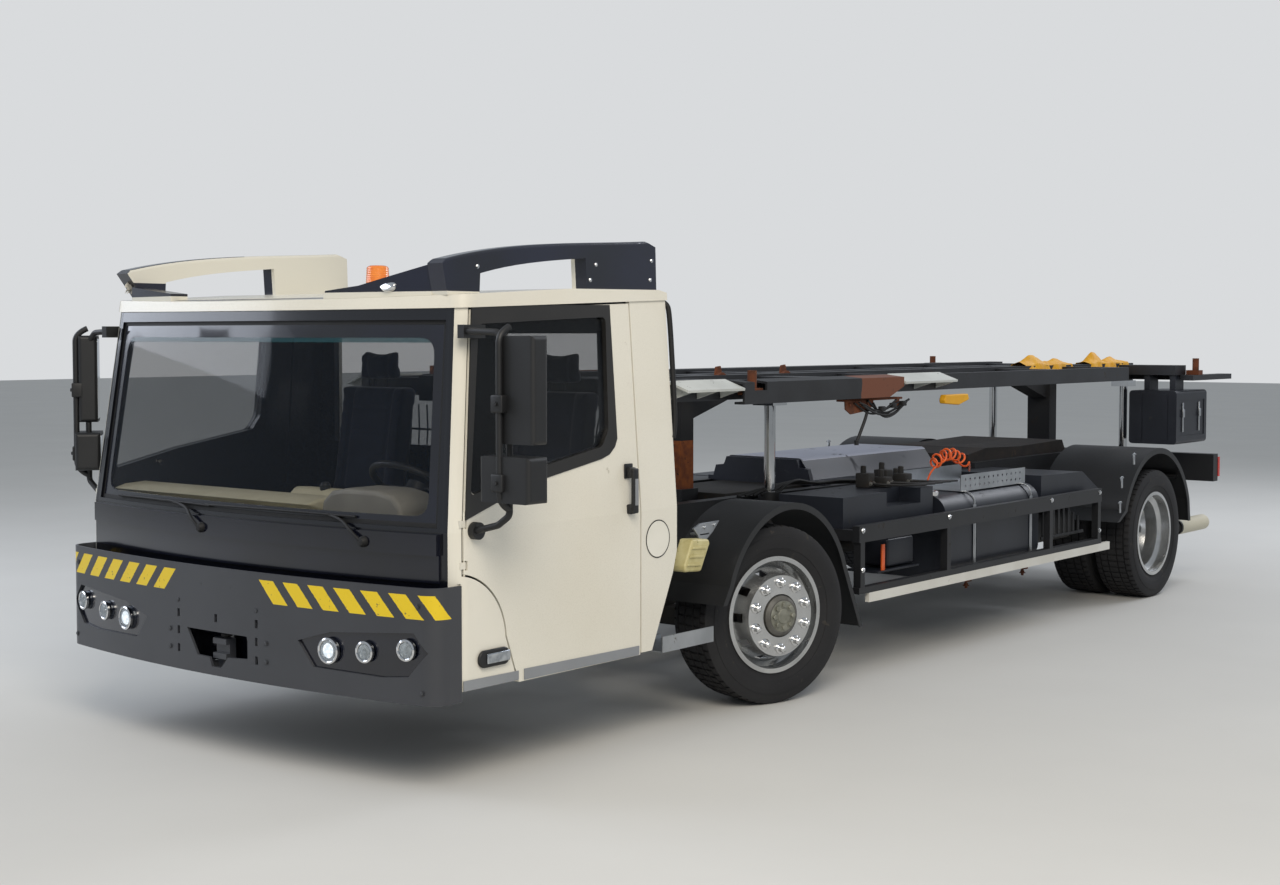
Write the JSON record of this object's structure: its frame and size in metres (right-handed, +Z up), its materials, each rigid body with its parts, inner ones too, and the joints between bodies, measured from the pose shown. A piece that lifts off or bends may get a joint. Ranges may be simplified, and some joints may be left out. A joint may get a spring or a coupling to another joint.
{
  "type": "swap body truck",
  "caption": "Low-cab swap body truck with a raised lift frame on guide masts, a striped front bumper and steered front wheels.",
  "frame": {"origin": "on the ground, below the middle of the overall length and width", "axes": "+Y towards the rear, +X to the vehicle's left, +Z up"},
  "size_m": [3.1684, 8.935, 2.309],
  "materials": {
    "aluminium": "satin",
    "black_plastic": "matte",
    "bumper_paint": "dark grey with yellow stripes",
    "cab_paint": "gloss cream white",
    "cast": "rough",
    "chassis_paint": "satin black",
    "chrome": "polished",
    "cover_paint": "worn",
    "dash_plastic": "matte",
    "exhaust_steel": "cream, worn",
    "frame_paint": "worn black with rust",
    "glass": "clear",
    "guide_paint": "worn white",
    "lamp_glass": "clear",
    "mat_rubber": "matte",
    "navy_plastic": "satin",
    "orange_lens": "gloss",
    "red_lens": "gloss",
    "rim_paint": "silver, worn",
    "roof_paint": "gloss cream white",
    "seat_fabric": "woven",
    "tyre": "matte"
  },
  "bodies": {
    "chassis": {"beacon": "orange_lens", "cab_floor": "chassis_paint", "cab_front": "cab_paint", "cab_rear": "cab_paint", "cab_roof": "roof_paint", "chassis_frame": "chassis_paint", "dashboard": "dash_plastic", "deck_mats": "mat_rubber", "engine_block": "cast", "engine_cover": "cover_paint", "equipment_boxes": "black_plastic", "exhaust": "exhaust_steel", "fascia": "navy_plastic", "fenders_front": "black_plastic", "fenders_rear": "black_plastic", "front_axle": "cast", "front_bumper": "bumper_paint", "headlamps": "lamp_glass", "lamp_panels": "black_plastic", "lift_cylinders": "chassis_paint", "rear_axle": "cast", "rear_beam": "chassis_paint", "rear_lamps": "red_lens", "rear_windows": "glass", "roof_fins": "navy_plastic", "seats": "seat_fabric", "side_frames": "chassis_paint", "side_rails": "aluminium", "side_tanks": "aluminium", "steering_wheel": "black_plastic", "steps": "aluminium", "windscreen": "glass"},
    "door_left": {"door_glass_left": "glass", "door_left": "cab_paint", "mirrors_left": "black_plastic"},
    "knuckle_left": {"knuckle_left": "cast"},
    "wheel_front_left": {"hub_front_left": "cast", "rim_front_left": "rim_paint", "tyre_front_left": "tyre"},
    "wheels_rear_left": {"hub_rear_left": "cast", "rims_rear_left": "rim_paint", "tyres_rear_left": "tyre"},
    "door_right": {"door_glass_right": "glass", "door_right": "cab_paint", "mirrors_right": "black_plastic"},
    "knuckle_right": {"knuckle_right": "cast"},
    "wheel_front_right": {"hub_front_right": "cast", "rim_front_right": "rim_paint", "tyre_front_right": "tyre"},
    "wheels_rear_right": {"hub_rear_right": "cast", "rims_rear_right": "rim_paint", "tyres_rear_right": "tyre"},
    "lift_frame": {"lift_frame": "frame_paint", "lift_masts": "frame_paint", "lift_rods": "chrome", "guide_plates": "guide_paint", "side_skirts": "frame_paint", "twist_locks": "frame_paint", "rear_box": "frame_paint"}
  },
  "joints": [
    {"name": "frame_lift", "type": "slide", "parent": "chassis", "child": "lift_frame", "axis": [0, 0, 1], "range_m": [-0.35, 0]},
    {"name": "door_left_hinge", "type": "hinge", "parent": "chassis", "child": "door_left", "pos_m": [1.24, -4.1865, 1.02], "axis": [0, 0, -1], "range_deg": [0, 70]},
    {"name": "door_right_hinge", "type": "hinge", "parent": "chassis", "child": "door_right", "pos_m": [-1.24, -4.1865, 1.02], "axis": [0, 0, 1], "range_deg": [0, 70]},
    {"name": "steer_left", "type": "hinge", "parent": "chassis", "child": "knuckle_left", "pos_m": [0.93, -1.8325, 0.455], "axis": [0, 0, 1], "range_deg": [-19, 51]},
    {"name": "steer_right", "type": "hinge", "parent": "chassis", "child": "knuckle_right", "pos_m": [-0.93, -1.8325, 0.455], "axis": [0, 0, 1], "range_deg": [-19, 51]},
    {"name": "spin_front_left", "type": "hinge", "parent": "knuckle_left", "child": "wheel_front_left", "pos_m": [1.10303, -1.88211, 0.455], "axis": [0.9613, -0.2756, 0], "continuous": true},
    {"name": "spin_rear_left", "type": "hinge", "parent": "chassis", "child": "wheels_rear_left", "pos_m": [0.9355, 2.8805, 0.455], "axis": [1, 0, 0], "continuous": true},
    {"name": "spin_front_right", "type": "hinge", "parent": "knuckle_right", "child": "wheel_front_right", "pos_m": [-1.10303, -1.78289, 0.455], "axis": [0.9613, -0.2756, 0], "continuous": true},
    {"name": "spin_rear_right", "type": "hinge", "parent": "chassis", "child": "wheels_rear_right", "pos_m": [-0.9355, 2.8805, 0.455], "axis": [1, 0, 0], "continuous": true}
  ],
  "couplings": [
    {"joint": "steer_right", "follows": "steer_left", "ratio": 1}
  ]
}
